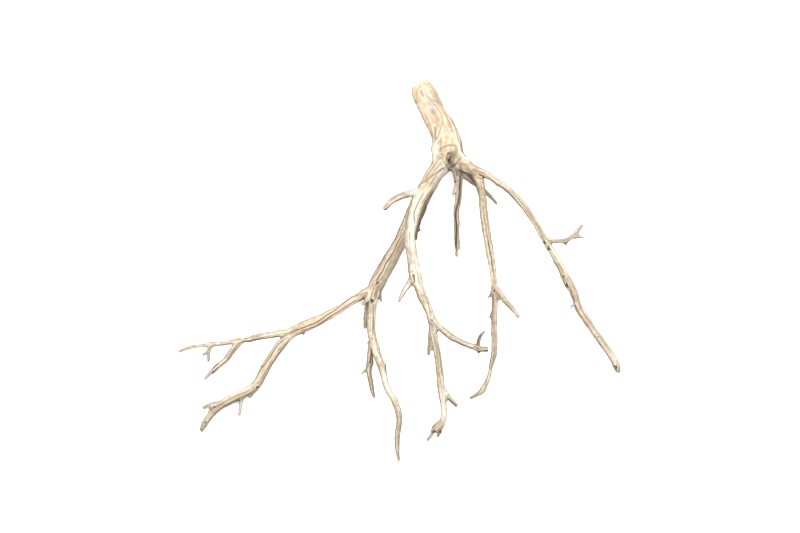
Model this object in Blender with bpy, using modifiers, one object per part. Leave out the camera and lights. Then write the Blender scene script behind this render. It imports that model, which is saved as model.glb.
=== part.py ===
"""Manzanita driftwood: one dead, sandblasted branch that lies on a flat surface.

Metres, +Z up. The wood grew as one piece, so it is one object. The sawn end of the trunk is at
+Y, the long limb with its two forks reaches to -X, and the bowed outer limb reaches to +X.
Every limb is a route of (x, y, height, radius) in millimetres, from its root to its tip.
"""

import math

import bmesh
import bpy

# Driving dimensions
MM = 0.001
NAME = "driftwood"
REST_LEVEL = 0.0
THINNEST_RADIUS = 1.3
WELD_CELL = 1.1
SMOOTH_PASSES = 4
MOST_TRIANGLES = 9800
FLUTES = ((3, 0.055, 0.4), (5, 0.035, 1.9), (8, 0.02, 0.9))
TWIST_PER_METRE = 4.0
PROFILE_POINTS = 40
ROOM_TO_CUT = 60.0

# Trunk, from the rounded saw cut up to the crotch
TRUNK = [
    (27, 253, 12, 10), (28, 249, 13, 14.3), (31, 242, 14, 16.2), (42, 221, 21, 16.8),
    (51, 202, 29, 17.3), (60, 185, 38, 18.2), (65, 168, 48, 20), (65, 153, 56, 20), (67, 144, 58, 15),
]
CROTCH_KNOT = [(67, 152, 60, 13.7), (67, 148, 70, 12), (67, 146, 77, 9)]

# Back limb, which runs down to the left, with a strip of old bark along its right side
BACK_LIMB = [
    (68, 153, 57, 12), (60, 141, 60, 13.4), (50, 130, 61, 12), (34, 103, 57, 12), (16, 65, 44, 11),
    (6, 44, 37, 9.9), (-5, 23, 31, 9.4), (-16, 3, 26, 9.6), (-27, -15, 22, 10), (-35, -31, 18, 9.5),
    (-38, -43, 17, 6.5),
]
BARK_REMNANT = [(38, 96, 50, 6), (34, 73, 44, 6.5), (26, 55, 40, 5.5), (19, 38, 36, 4), (11, 24, 33, 3)]
BARK_SPUR = [(21, 52, 38, 4.1), (29, 49, 36, 1.4)]
HANGING_STRIP = [(-42, -44, 16, 3.6), (-46, -61, 13, 2.8), (-47, -72, 11, 2.9), (-49, -86, 8, 1.7)]
NODE_STUB = [(-39, -36, 22, 5), (-45, -46, 26, 3.3), (-51, -54, 28, 1.8)]
NODE_SPUR = [(-31, -35, 17, 4.7), (-28, -43, 15, 2.2), (-25, -50, 13, 1.3)]

# Front limb, which arches over the others
FRONT_LIMB = [
    (41, 115, 61, 9.8), (29, 94, 70, 9.5), (21, 76, 80, 8.5), (16, 55, 89, 7.8), (13, 38, 96, 6.9),
    (15, 22, 101, 7), (18, 7, 104, 7.4), (20, -8, 106, 7.9), (23, -21, 107, 7.5), (28, -35, 107, 6.4),
    (34, -48, 106, 5.8), (39, -62, 105, 5.6), (44, -74, 103, 5.4),
]
FRONT_RIGHT_BRANCH = [
    (40, -66, 104, 4.8), (49, -78, 103, 4.6), (56, -84, 102, 3.9), (67, -94, 101, 4.2), (77, -99, 100, 3.6),
    (87, -104, 98, 3.4), (97, -108, 97, 3.8), (105, -110, 97, 3.8), (119, -111, 95, 2.6),
]
FRONT_RIGHT_UPRIGHT = [(104, -109, 98, 3), (105, -100, 102, 2.4), (107, -93, 105, 2), (113, -86, 108, 1.5)]
FRONT_RIGHT_SPUR = [(105, -112, 97, 2.6), (106, -118, 95, 1.3)]
FRONT_DOWN_BRANCH = [
    (42, -68, 103, 5.4), (45, -86, 99, 4.7), (47, -104, 95, 4.3), (50, -120, 91, 4.3), (52, -135, 88, 4.5),
    (56, -164, 85, 4.9), (59, -188, 84, 3.8), (60, -199, 83, 3.9), (58, -209, 81, 4.6), (54, -216, 79, 5.3),
    (48, -222, 77, 4.5), (44, -228, 75, 2.7), (38, -238, 71, 1.6),
]
FRONT_DOWN_TWIG = [(59, -166, 85, 4.3), (64, -174, 86, 3.1), (70, -182, 87, 2.4), (77, -189, 88, 1.8)]
FRONT_DOWN_CLAW = [(55, -220, 78, 3), (55, -227, 75, 1.9), (52, -232, 73, 1.4)]
FRONT_DOWN_STUB = [(43, -79, 100, 3.4), (41, -94, 96, 2.8), (40, -108, 92, 2.7), (38, -120, 89, 1.6)]
FRONT_TWIG = [(20, -13, 106, 5.6), (12, -24, 106, 3.8), (6, -32, 105, 3.2), (-2, -48, 103, 1.9)]
SHOULDER_TWIG = [
    (29, 102, 61, 6.8), (16, 99, 66, 4.8), (7, 96, 69, 4.2), (-3, 92, 71, 3.9), (-12, 86, 72, 3.8),
    (-21, 77, 73, 2.9),
]

# Left limb and its two forks; the lower fork's tip lies on the surface
LEFT_LIMB = [
    (-33, -31, 18, 9), (-46, -36, 18, 7.2), (-57, -42, 19, 6.5), (-69, -50, 20, 5.8), (-97, -67, 22, 6.2),
    (-111, -74, 22, 6.8), (-125, -80, 22, 7.4), (-139, -85, 22, 7.6), (-150, -90, 21, 6.9),
]
LEFT_NUB = [(-135, -88, 20, 3.6), (-133, -95, 18, 1.4)]
LEFT_UPPER_BRANCH = [
    (-140, -85, 22, 5.6), (-155, -90, 22, 5), (-168, -92, 22, 4.4), (-182, -95, 23, 4.3),
    (-196, -98, 23, 4.3), (-210, -102, 22, 3.6), (-224, -104, 21, 3.7), (-238, -107, 20, 2.6),
    (-263, -110, 17, 2.6), (-277, -112, 15, 1.9), (-290, -114, 13, 1.8), (-308, -120, 10, 1.3),
]
LEFT_UPPER_NUB = [(-196, -97, 24, 2.8), (-197, -92, 25, 1.3)]
LEFT_UPPER_TWIG = [
    (-219, -104, 21, 3.7), (-228, -112, 20, 3.9), (-243, -131, 17, 3.6), (-252, -138, 16, 3.5),
    (-260, -145, 14, 2.8), (-265, -149, 13, 1.9), (-272, -157, 12, 1.3),
]
LEFT_UPPER_FORK = [(-259, -109, 17, 2.9), (-264, -115, 16, 2.5), (-269, -120, 15, 1.8), (-275, -124, 14, 1.3)]
LEFT_UPPER_FORK_SPUR = [(-264, -116, 16, 1.8), (-266, -124, 14, 1.5), (-267, -133, 12, 1.3)]
LEFT_LOWER_BRANCH = [
    (-143, -88, 21, 6.7), (-155, -97, 20, 6.7), (-164, -108, 19, 6.3), (-172, -119, 18, 6),
    (-188, -142, 15, 6), (-201, -165, 12, 5.7), (-210, -174, 11, 6), (-221, -179, 10, 6),
    (-232, -183, 9, 5.7), (-243, -188, 7, 5.7), (-253, -195, 6, 5.3), (-261, -203, 4.5, 4.7),
    (-268, -212, 3.5, 4.1), (-274, -222, 2.5, 3.4), (-278, -230, 1.8, 2),
]
LEFT_LOWER_SPUR = [(-250, -192, 7, 4.3), (-260, -194, 8, 3.3), (-267, -195, 8, 2.4), (-275, -198, 9, 1.3)]
LEFT_LOWER_STUB = [(-201, -166, 11, 4.5), (-206, -175, 10, 2.8), (-210, -183, 9, 1.3)]
LEFT_LOWER_TWIG = [(-220, -181, 9, 2.8), (-222, -190, 7, 1.6), (-223, -200, 6, 1.4), (-224, -208, 6, 1.7)]

# Down limb, which rises as it runs away from the trunk
DOWN_LIMB = [
    (-35, -31, 19, 9), (-38, -47, 20, 6.5), (-39, -64, 24, 5.8), (-38, -97, 34, 5.5), (-35, -110, 39, 5.5),
    (-31, -124, 44, 5), (-25, -137, 49, 4.9), (-22, -149, 52, 4.2), (-19, -162, 55, 4.1),
    (-14, -173, 57, 4.1), (-8, -182, 57, 4.1), (-4, -192, 56, 4), (-1, -214, 51, 3.6), (-4, -239, 43, 3.2),
    (-4, -252, 39, 2.9), (-2, -269, 34, 1.3),
]
DOWN_TWIG = [
    (-37, -104, 36, 5), (-41, -117, 36, 3.9), (-42, -130, 34, 3.9), (-43, -140, 32, 4), (-42, -151, 30, 3),
    (-40, -163, 28, 2.8), (-38, -174, 26, 2.4), (-35, -184, 24, 1.3),
]
DOWN_TWIG_SPUR = [(-44, -139, 31, 2.5), (-49, -144, 30, 1.5), (-54, -148, 29, 1.3)]
DOWN_NUB = [(-24, -136, 50, 3.6), (-19, -136, 51, 1.9)]
DOWN_SMALL_NUB = [(-39, -104, 35, 2.8), (-46, -106, 35, 1.3)]
DOWN_TIP_SPUR = [(-3, -224, 48, 2.5), (-8, -226, 48, 1.3)]

# Right limb, bowed out to the right, with its broken tip on the surface
RIGHT_LIMB = [
    (70, 152, 58, 15), (81, 143, 61, 10.9), (91, 136, 63, 9), (102, 130, 64, 7.2), (113, 126, 65, 5.5),
    (124, 121, 65, 4.6), (136, 113, 65, 4.2), (150, 103, 63, 4.2), (163, 90, 60, 4.4), (174, 76, 57, 4.5),
    (183, 63, 53, 4.4), (198, 37, 45, 4.5), (205, 26, 41, 4.7), (212, 15, 38, 4.8), (225, -9, 31, 5.4),
    (232, -21, 28, 5.1), (238, -33, 25, 4.9), (243, -45, 22, 4.6), (247, -58, 19, 4.6), (255, -69, 16, 4.9),
    (270, -90, 12, 4.5), (288, -114, 7, 4.6), (296, -127, 5, 4.6), (303, -139, 3.5, 4.3),
    (306, -148, 2.6, 2.9),
]
RIGHT_TWIG = [
    (199, 36, 44, 4.4), (212, 34, 46, 3.4), (222, 34, 48, 3), (231, 37, 50, 3.2), (238, 42, 52, 3.2),
    (245, 49, 53, 2.3), (250, 56, 54, 1.4),
]
RIGHT_TWIG_FORK = [(237, 39, 51, 2.3), (244, 40, 52, 1.5), (252, 38, 53, 1.3)]
RIGHT_TWIG_NUB = [(225, 34, 48, 2.5), (228, 29, 47, 1.3)]
RIGHT_SPUR = [(244, -46, 22, 3.1), (240, -53, 23, 1.6), (236, -58, 24, 1.3)]

# Middle limb and the dead wood under the crotch
MIDDLE_LIMB = [
    (93, 136, 62, 8.2), (104, 124, 61, 6.3), (109, 112, 59, 5.9), (112, 100, 57, 5.3), (115, 70, 53, 5.2),
    (118, 52, 51, 5.2), (123, 16, 47, 5.5), (126, 0, 45, 5.4), (128, -15, 44, 4.8), (130, -29, 43, 5.5),
    (131, -43, 42, 5.1), (130, -58, 42, 4.3), (130, -91, 43, 4), (131, -105, 43, 4.4), (130, -117, 42, 4.4),
    (128, -131, 40, 4.3), (122, -157, 35, 3.5), (117, -166, 32, 3.7), (114, -173, 30, 3.9),
    (107, -178, 27, 2.4), (97, -184, 23, 1.7),
]
MIDDLE_TWIG = [
    (129, -23, 44, 5.2), (138, -35, 45, 4.5), (146, -45, 46, 3.8), (154, -55, 47, 3), (163, -69, 48, 1.8),
]
MIDDLE_SPUR = [(127, -32, 42, 3), (124, -38, 41, 1.8), (120, -44, 40, 1.3)]
MIDDLE_LOW_SPUR = [(128, -61, 42, 2.3), (125, -66, 41, 1.5), (122, -71, 40, 1.3)]
UNDER_LIMB = [
    (77, 141, 55, 11), (89, 129, 46, 7.6), (101, 118, 39, 5.8), (112, 108, 33, 4.7), (122, 99, 28, 3.7),
    (134, 86, 22, 2.2),
]
HANGING_TWIG = [
    (74, 141, 55, 10.3), (78, 128, 49, 5.8), (80, 117, 45, 4.8), (80, 105, 41, 4.1), (78, 77, 35, 3.6),
    (78, 47, 28, 3.5), (78, 32, 24, 2.6), (78, 13, 20, 1.3),
]
HANGING_TWIG_PRONG = [(79, 50, 28, 2.5), (82, 35, 25, 2.2), (83, 22, 23, 1.4)]
HANGING_TWIG_SPUR = [(77, 111, 44, 1.9), (74, 103, 44, 1.4), (72, 96, 45, 1.3)]

HEAVY_LIMBS = [
    TRUNK, CROTCH_KNOT, BACK_LIMB, FRONT_LIMB, LEFT_LIMB, LEFT_LOWER_BRANCH, DOWN_LIMB, RIGHT_LIMB,
    MIDDLE_LIMB, UNDER_LIMB, HANGING_TWIG, FRONT_DOWN_BRANCH,
]
TWIGS = [
    BARK_REMNANT, BARK_SPUR, HANGING_STRIP, NODE_STUB, NODE_SPUR, FRONT_RIGHT_BRANCH, FRONT_RIGHT_UPRIGHT,
    FRONT_RIGHT_SPUR, FRONT_DOWN_TWIG, FRONT_DOWN_CLAW, FRONT_DOWN_STUB, FRONT_TWIG, SHOULDER_TWIG,
    LEFT_NUB, LEFT_UPPER_BRANCH, LEFT_UPPER_NUB, LEFT_UPPER_TWIG, LEFT_UPPER_FORK, LEFT_UPPER_FORK_SPUR,
    LEFT_LOWER_SPUR, LEFT_LOWER_STUB, LEFT_LOWER_TWIG, DOWN_TWIG, DOWN_TWIG_SPUR, DOWN_NUB, DOWN_SMALL_NUB,
    DOWN_TIP_SPUR, RIGHT_TWIG, RIGHT_TWIG_FORK, RIGHT_TWIG_NUB, RIGHT_SPUR, MIDDLE_TWIG, MIDDLE_SPUR,
    MIDDLE_LOW_SPUR, HANGING_TWIG_PRONG, HANGING_TWIG_SPUR,
]


def clear_scene():
    for obj in list(bpy.data.objects):
        bpy.data.objects.remove(obj)


def new_collection(name):
    collection = bpy.data.collections.new(name)
    bpy.context.scene.collection.children.link(collection)
    return collection


def cross_section(name, flutes, guides):
    """A closed outline of unit radius: round, or with the shallow flutes of twisted grain."""
    curve = bpy.data.curves.new(name, "CURVE")
    curve.dimensions = "2D"
    spline = curve.splines.new("POLY")
    spline.points.add(PROFILE_POINTS - 1)
    for index, point in enumerate(spline.points):
        angle = 2 * math.pi * index / PROFILE_POINTS
        radius = 1 + sum(depth * math.cos(lobes * angle + phase) for lobes, depth, phase in flutes)
        point.co = (radius * math.cos(angle), radius * math.sin(angle), 0, 1)
    spline.use_cyclic_u = True
    guide = bpy.data.objects.new(name, curve)
    guide.hide_render = True
    guides.objects.link(guide)
    return guide


def limb_mesh(stations, section, guides):
    """One limb: a smooth route through its stations, as thick as each of them says."""
    curve = bpy.data.curves.new("limb", "CURVE")
    curve.dimensions = "3D"
    curve.resolution_u = 6
    curve.bevel_mode = "OBJECT"
    curve.bevel_object = section
    curve.use_fill_caps = True
    spline = curve.splines.new("BEZIER")
    spline.bezier_points.add(len(stations) - 1)
    run = 0.0
    before = stations[0]
    for point, station in zip(spline.bezier_points, stations):
        run += math.dist(before[:3], station[:3]) * MM
        before = station
        point.co = [value * MM for value in station[:3]]
        point.radius = max(station[3], THINNEST_RADIUS) * MM
        point.tilt = run * TWIST_PER_METRE
        point.handle_left_type = "AUTO"
        point.handle_right_type = "AUTO"
    route = bpy.data.objects.new("limb", curve)
    guides.objects.link(route)
    graph = bpy.context.evaluated_depsgraph_get()
    mesh = bpy.data.meshes.new_from_object(route.evaluated_get(graph))
    bpy.data.objects.remove(route)
    return mesh


def joined_limbs(guides):
    """All the limbs in one mesh, still overlapping."""
    fluted = cross_section("fluted section", FLUTES, guides)
    plain = cross_section("round section", (), guides)
    wood = bmesh.new()
    for stations in HEAVY_LIMBS:
        wood.from_mesh(limb_mesh(stations, fluted, guides))
    for stations in TWIGS:
        wood.from_mesh(limb_mesh(stations, plain, guides))
    mesh = bpy.data.meshes.new(NAME)
    wood.to_mesh(mesh)
    wood.free()
    return mesh


def triangle_count(mesh):
    mesh.calc_loop_triangles()
    return len(mesh.loop_triangles)


def apply_modifiers(obj):
    graph = bpy.context.evaluated_depsgraph_get()
    mesh = bpy.data.meshes.new_from_object(obj.evaluated_get(graph))
    obj.modifiers.clear()
    obj.data = mesh


def grow_together(obj):
    """Welds the limbs into one body with soft crotches, then thins its faces."""
    weld = obj.modifiers.new("weld", "REMESH")
    weld.mode = "VOXEL"
    weld.voxel_size = WELD_CELL * MM
    soften = obj.modifiers.new("soften", "SMOOTH")
    soften.factor = 0.5
    soften.iterations = SMOOTH_PASSES
    apply_modifiers(obj)
    thin = obj.modifiers.new("thin", "DECIMATE")
    thin.ratio = MOST_TRIANGLES / triangle_count(obj.data)
    thin.use_collapse_triangulate = True
    apply_modifiers(obj)


def flatten_rests(obj, cutters):
    """Cuts the underside level where the branch lies on the surface."""
    corners = [corner[:] for corner in obj.bound_box]
    width = max(x for x, _, _ in corners) - min(x for x, _, _ in corners) + ROOM_TO_CUT * MM
    length = max(y for _, y, _ in corners) - min(y for _, y, _ in corners) + ROOM_TO_CUT * MM
    block = bpy.data.meshes.new("level")
    shape = bmesh.new()
    bmesh.ops.create_cube(shape, size=1)
    bmesh.ops.scale(shape, vec=(width, length, ROOM_TO_CUT * MM), verts=shape.verts)
    bmesh.ops.translate(shape, vec=(0, 0, REST_LEVEL - ROOM_TO_CUT * MM / 2), verts=shape.verts)
    shape.to_mesh(block)
    shape.free()
    cutter = bpy.data.objects.new("level", block)
    cutter.hide_render = True
    cutter.display_type = "WIRE"
    cutters.objects.link(cutter)
    level = obj.modifiers.new("level", "BOOLEAN")
    level.operation = "DIFFERENCE"
    level.object = cutter
    apply_modifiers(obj)


def centre_on_base(obj):
    """The origin is the middle of the bounding box, at the surface that the branch lies on."""
    xs = [vertex.co.x for vertex in obj.data.vertices]
    ys = [vertex.co.y for vertex in obj.data.vertices]
    middle = ((min(xs) + max(xs)) / 2, (min(ys) + max(ys)) / 2)
    for vertex in obj.data.vertices:
        vertex.co.x -= middle[0]
        vertex.co.y -= middle[1]


def bare_wood():
    material = bpy.data.materials.new("sandblasted wood")
    material.use_nodes = True
    shader = material.node_tree.nodes["Principled BSDF"]
    shader.inputs["Base Color"].default_value = (0.62, 0.42, 0.24, 1)
    shader.inputs["Roughness"].default_value = 0.75
    shader.inputs["Metallic"].default_value = 0
    return material


def main():
    clear_scene()
    branch = new_collection("manzanita driftwood")
    guides = new_collection("guides")
    wood = bpy.data.objects.new(NAME, joined_limbs(guides))
    branch.objects.link(wood)
    grow_together(wood)
    flatten_rests(wood, guides)
    centre_on_base(wood)
    wood.data.shade_smooth()
    wood.data.materials.clear()
    wood.data.materials.append(bare_wood())


main()
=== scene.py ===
import math

import bpy
import numpy as np
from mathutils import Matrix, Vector


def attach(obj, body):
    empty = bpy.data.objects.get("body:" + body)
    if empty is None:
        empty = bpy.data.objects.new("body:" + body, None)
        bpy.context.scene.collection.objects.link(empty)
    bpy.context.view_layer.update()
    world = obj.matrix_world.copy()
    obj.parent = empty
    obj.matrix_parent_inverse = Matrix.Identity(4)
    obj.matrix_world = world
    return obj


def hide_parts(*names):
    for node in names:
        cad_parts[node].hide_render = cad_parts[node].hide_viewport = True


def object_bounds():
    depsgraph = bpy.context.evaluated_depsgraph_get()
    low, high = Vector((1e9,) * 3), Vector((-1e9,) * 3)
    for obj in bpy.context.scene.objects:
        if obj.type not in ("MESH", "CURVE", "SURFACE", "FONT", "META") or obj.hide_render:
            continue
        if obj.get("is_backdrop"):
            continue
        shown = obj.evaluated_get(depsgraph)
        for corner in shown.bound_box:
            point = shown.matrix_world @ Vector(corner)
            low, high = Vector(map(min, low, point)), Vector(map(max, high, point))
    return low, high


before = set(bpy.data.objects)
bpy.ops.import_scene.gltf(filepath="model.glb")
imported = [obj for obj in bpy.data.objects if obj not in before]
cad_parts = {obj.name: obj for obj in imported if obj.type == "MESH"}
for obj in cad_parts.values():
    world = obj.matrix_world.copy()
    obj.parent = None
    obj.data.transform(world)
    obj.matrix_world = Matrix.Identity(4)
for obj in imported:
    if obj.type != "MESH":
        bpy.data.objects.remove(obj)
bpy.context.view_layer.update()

# The branch, as it grew
# The real piece is one dead manzanita branch, cut with a saw at its thick end and sandblasted bare.
# Each limb is (what it grows from, how tan, how grey, how dark, its route), and a route is a list of
# (x, y, height, radius) in millimetres from root to tip, the same routes that the solid follows.
MM = 0.001
LIMBS = {
    "trunk": (None, 0.42, 0, 0, [
        (27, 252, 12, 13.2), (29.5, 248, 13, 15.2), (33, 240, 15, 16.3), (42, 221, 21, 16.8),
        (51, 202, 29, 17.3), (60, 185, 38, 18.2), (64, 168, 48, 19.6), (64, 153, 56, 19.8), (67, 144, 58, 15),
    ]),
    "crotch knot": ("trunk", 0.45, 0.1, 0, [(67, 152, 60, 13.7), (67, 148, 70, 12), (67, 146, 77, 9)]),
    "right crotch web": ("trunk", 0.15, 0, 0, [(73, 163, 51, 6.5), (79, 153, 54, 6.2), (88, 145, 57, 4.5)]),
    "left crotch web": ("trunk", 0.25, 0, 0, [(56, 158, 55, 9), (53, 143, 57, 9.5), (46, 128, 58, 9)]),
    "back limb": ("trunk", 0.8, 0.18, 0.28, [
        (68, 153, 57, 12), (60, 141, 60, 13.4), (50, 130, 61, 12), (34, 103, 57, 12), (16, 65, 44, 11),
        (6, 44, 37, 9.9), (-5, 23, 31, 9.4), (-16, 3, 26, 9.6), (-27, -15, 22, 10), (-35, -31, 18, 9.5),
        (-38, -43, 17, 6.5),
    ]),
    "bark remnant": ("back limb", 0.9, 0.6, 0.5, [
        (34, 96, 50, 5), (31, 78, 44, 4.8), (25, 60, 40, 3.6), (22, 46, 37, 3), (20.5, 36, 35, 1.8),
    ]),
    "bark spur": ("back limb", 0.9, 0.6, 0.6, [(21, 52, 38, 4.1), (29, 49, 36, 1.4)]),
    "hanging strip": ("back limb", 0.8, 0.3, 0.6, [
        (-42, -44, 16, 2.8), (-46, -61, 13, 2.6), (-47, -72, 11, 2.9), (-49, -86, 8, 1.7),
    ]),
    "node stub": ("back limb", 0.1, 0, 0, [(-39, -36, 22, 5), (-45, -46, 26, 3.3), (-51, -54, 28, 1.8)]),
    "node spur": ("back limb", 0.6, 0.4, 0.4, [
        (-31, -35, 17, 4.7), (-28, -43, 15, 2.2), (-25, -50, 13, 1.3),
    ]),
    "front limb": ("back limb", 0.05, 0, 0, [
        (41, 115, 61, 9.8), (29, 94, 70, 9.5), (21, 76, 80, 8.5), (16, 55, 89, 7.8), (13, 38, 96, 6.9),
        (15, 22, 101, 7), (18, 7, 104, 7.4), (20, -8, 106, 7.9), (23, -21, 107, 7.5), (28, -35, 107, 6.4),
        (34, -48, 106, 5.8), (39, -62, 105, 5.6), (44, -74, 103, 5.4),
    ]),
    "front right branch": ("front limb", 0.3, 0.1, 0.2, [
        (40, -66, 104, 4.8), (49, -78, 103, 4.6), (56, -84, 102, 3.9), (67, -94, 101, 4.2),
        (77, -99, 100, 3.6), (87, -104, 98, 3.4), (97, -108, 97, 3.8), (105, -110, 97, 3.8),
        (119, -111, 95, 2.6),
    ]),
    "front right upright": ("front right branch", 0.35, 0.45, 0.9, [
        (104, -109, 98, 2.8), (105, -100, 102, 2), (107, -93, 105, 1.7), (113, -86, 108, 1.2),
    ]),
    "front right spur": ("front right branch", 0.4, 0.5, 0.9, [(105, -112, 97, 2.6), (106, -118, 95, 1.3)]),
    "front down branch": ("front limb", 0.25, 0.1, 0.05, [
        (42, -68, 103, 5.4), (45, -86, 99, 4.7), (47, -104, 95, 4.3), (50, -120, 91, 4.3),
        (52, -135, 88, 4.5), (56, -164, 85, 4.9), (59, -188, 84, 3.8), (60, -199, 83, 3.9),
        (58.5, -208, 81, 4), (54.5, -214, 79, 5.4), (49.5, -218, 77, 5.8), (44.5, -222, 75, 4.2),
    ]),
    "front down twig": ("front down branch", 0.3, 0.5, 0.85, [
        (59, -166, 85, 4.3), (64, -175, 86, 3.1), (70, -182, 87, 2.8), (77, -189, 88, 2.3),
    ]),
    "front down finger": ("front down branch", 0.4, 0.5, 0.7, [
        (45, -222, 75, 3.4), (43, -229, 73, 2.3), (36.5, -237, 71, 1.7),
    ]),
    "front down claw": ("front down branch", 0.4, 0.5, 0.8, [
        (54, -220, 78, 3.6), (53.5, -227, 75, 2.3), (51, -232, 73, 1.6),
    ]),
    "front down stub": ("front limb", 0.5, 0.3, 0.65, [
        (43, -79, 100, 3.4), (41, -94, 96, 2.8), (40, -108, 92, 2.7), (38, -120, 89, 1.6),
    ]),
    "front twig": ("front limb", 0.15, 0, 0, [
        (20, -13, 106, 5.6), (12, -24, 106, 3.8), (6, -32, 105, 3.2), (-2, -48, 103, 1.9),
    ]),
    "shoulder twig": ("front limb", 0.4, 0.2, 0.15, [
        (29, 102, 61, 6.8), (15.5, 99.5, 66, 5.2), (6, 97, 69, 4.6), (-4, 93, 71, 4.1), (-13, 87, 72, 3.6),
        (-22.5, 77, 73, 2.3),
    ]),
    "left limb": ("back limb", 0.6, 0, 0.06, [
        (-33, -31, 18, 9), (-46, -36, 18, 7.2), (-57, -42, 19, 6.5), (-69, -50, 20, 5.8),
        (-97, -67, 22, 6.2), (-111, -74, 22, 6.8), (-125, -80, 22, 7.4), (-139, -85, 22, 7.6),
        (-150, -90, 21, 6.9),
    ]),
    "left nub": ("left limb", 0.4, 0.4, 0.4, [(-135, -88, 20, 3.6), (-133, -95, 18, 1.4)]),
    "left upper branch": ("left limb", 0.35, 0.12, 0.08, [
        (-140, -85, 22, 5.6), (-155, -90, 22, 5), (-168, -92, 22, 4.4), (-182, -95, 23, 4.3),
        (-196, -97, 23, 4.3), (-210, -100.5, 22, 3.6), (-224, -102.5, 21, 3.7), (-238, -105, 20, 2.6),
        (-263, -108, 17, 2.6), (-277, -110, 15, 1.9), (-290, -112.5, 13, 1.8), (-308, -119, 10, 1.3),
    ]),
    "left upper nub": ("left upper branch", 0.4, 0.4, 0.5, [(-196, -97, 24, 2.8), (-197, -91, 25, 1.3)]),
    "left upper twig": ("left upper branch", 0.5, 0.1, 0.15, [
        (-219, -102, 21, 3.7), (-228, -111, 20, 3.9), (-243, -131, 17, 3.6), (-252, -138, 16, 3.5),
        (-260, -145, 14, 2.8), (-265, -149, 13, 1.9), (-272, -157, 12, 1.3),
    ]),
    "left upper fork": ("left upper branch", 0.45, 0.35, 0.6, [
        (-259, -107.5, 17, 2.9), (-264, -114, 16, 2.5), (-269, -119, 15, 1.8), (-275, -124, 14, 1.3),
    ]),
    "left upper fork spur": ("left upper fork", 0.4, 0.3, 0.5, [
        (-264, -116, 16, 1.8), (-266, -124, 14, 1.5), (-267, -133, 12, 1.3),
    ]),
    "left lower branch": ("left limb", 0.4, 0.05, 0.06, [
        (-143, -88, 21, 6.7), (-155.5, -97, 20, 6.5), (-165, -108, 19, 6), (-173, -119, 18, 5.8),
        (-188, -142, 15, 6), (-201, -164, 12, 5.7), (-210, -171.5, 11, 5.8), (-221, -177, 10, 5.8),
        (-232, -182, 9, 5.7), (-243, -188, 7, 5.7), (-253, -195, 6, 5.3), (-261, -203, 4.5, 4.7),
        (-268, -212, 3.5, 4.1), (-274, -222, 2.5, 3.4), (-278, -230, 1.8, 2),
    ]),
    "left lower spur": ("left lower branch", 0.4, 0.2, 0, [
        (-250, -190, 7, 4.3), (-260, -192.5, 8, 3.5), (-267, -194, 8, 2.5), (-275, -197, 9, 1.3),
    ]),
    "left lower stub": ("left lower branch", 0.5, 0.5, 0.45, [
        (-201, -166, 11, 4.5), (-206, -175, 10, 2.8), (-210, -183, 9, 1.3),
    ]),
    "left lower twig": ("left lower branch", 0.3, 0.2, 0.25, [
        (-220, -181, 9, 2.8), (-222, -190, 7, 1.6), (-223, -200, 6, 1.4), (-224, -208, 6, 1.7),
    ]),
    "down limb": ("back limb", 0.22, 0.12, 0, [
        (-35, -31, 19, 9), (-38, -47, 20, 6.5), (-39, -64, 24, 5.8), (-38, -97, 34, 5.5),
        (-35, -110, 39, 5.5), (-31, -124, 44, 5), (-25, -137, 49, 4.9), (-22, -149, 52, 4.2),
        (-19, -162, 55, 4.1), (-14, -173, 57, 4.1), (-8, -182, 57, 4.1), (-4, -192, 56, 4),
        (-1, -214, 51, 3.6), (-4, -239, 43, 3.2), (-4, -252, 39, 2.9), (-2, -269, 34, 1.3),
    ]),
    "down twig": ("down limb", 0.55, 0.25, 0.75, [
        (-37, -104, 36, 5), (-41, -116, 36, 3.9), (-42, -128, 34, 3.9), (-43, -138, 32, 4),
        (-42.5, -149, 30, 3), (-40.5, -161, 28, 2.8), (-38.5, -172, 26, 2.4), (-35.5, -182, 24, 1.3),
    ]),
    "down twig spur": ("down twig", 0.5, 0.4, 0.5, [
        (-44, -139, 31, 2.5), (-49, -144, 30, 1.5), (-54, -148, 29, 1.3),
    ]),
    "down nub": ("down limb", 0.5, 0.3, 0.7, [(-24, -136, 50, 3.6), (-19, -136, 51, 1.9)]),
    "down small nub": ("down limb", 0.5, 0.4, 0, [(-39, -104, 35, 2.8), (-46, -106, 35, 1.3)]),
    "down tip spur": ("down limb", 0.4, 0.4, 0, [(-3, -224, 48, 2.5), (-8, -226, 48, 1.3)]),
    "right limb": ("trunk", 0.35, 0.08, 0.08, [
        (70, 152, 58, 15), (81, 143, 61, 10.9), (91, 136, 63, 9), (102, 130, 64, 7.2),
        (113, 126, 65, 5.5), (124, 121, 65, 4.6), (136, 113, 65, 4.2), (150, 103, 63, 4.2),
        (163, 90, 60, 4.4), (174, 76, 57, 4.5), (183, 63, 53, 4.4), (198, 37, 45, 4.5),
        (205, 26, 41, 4.7), (212, 15, 38, 4.8), (225, -9, 31, 5.4), (232, -21, 28, 5.1),
        (238, -33, 25, 4.9), (243, -45, 22, 4.6), (247, -58, 19, 4.6), (255, -69, 16, 4.9),
        (270, -90, 12, 4.5), (288, -114, 7, 4.6), (296, -127, 5, 4.6), (303, -139, 3.5, 4.3),
        (306, -148, 2.6, 2.4),
    ]),
    "right twig": ("right limb", 0.45, 0.2, 0.4, [
        (199, 37, 44, 4.4), (212, 35, 46, 3.6), (222, 35, 48, 3.4), (231, 38, 50, 3.7), (238, 43, 52, 3.4),
        (245, 50, 53, 2.5), (250, 57, 54, 1.6),
    ]),
    "right twig fork": ("right twig", 0.4, 0.4, 0.7, [
        (237, 40, 51, 2.5), (244, 41, 52, 1.7), (252, 39, 53, 1.3),
    ]),
    "right twig nub": ("right twig", 0.5, 0.4, 0.8, [(225, 34, 48, 2.7), (228, 29, 47, 1.5)]),
    "right spur": ("right limb", 0.4, 0.4, 0.1, [
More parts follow.
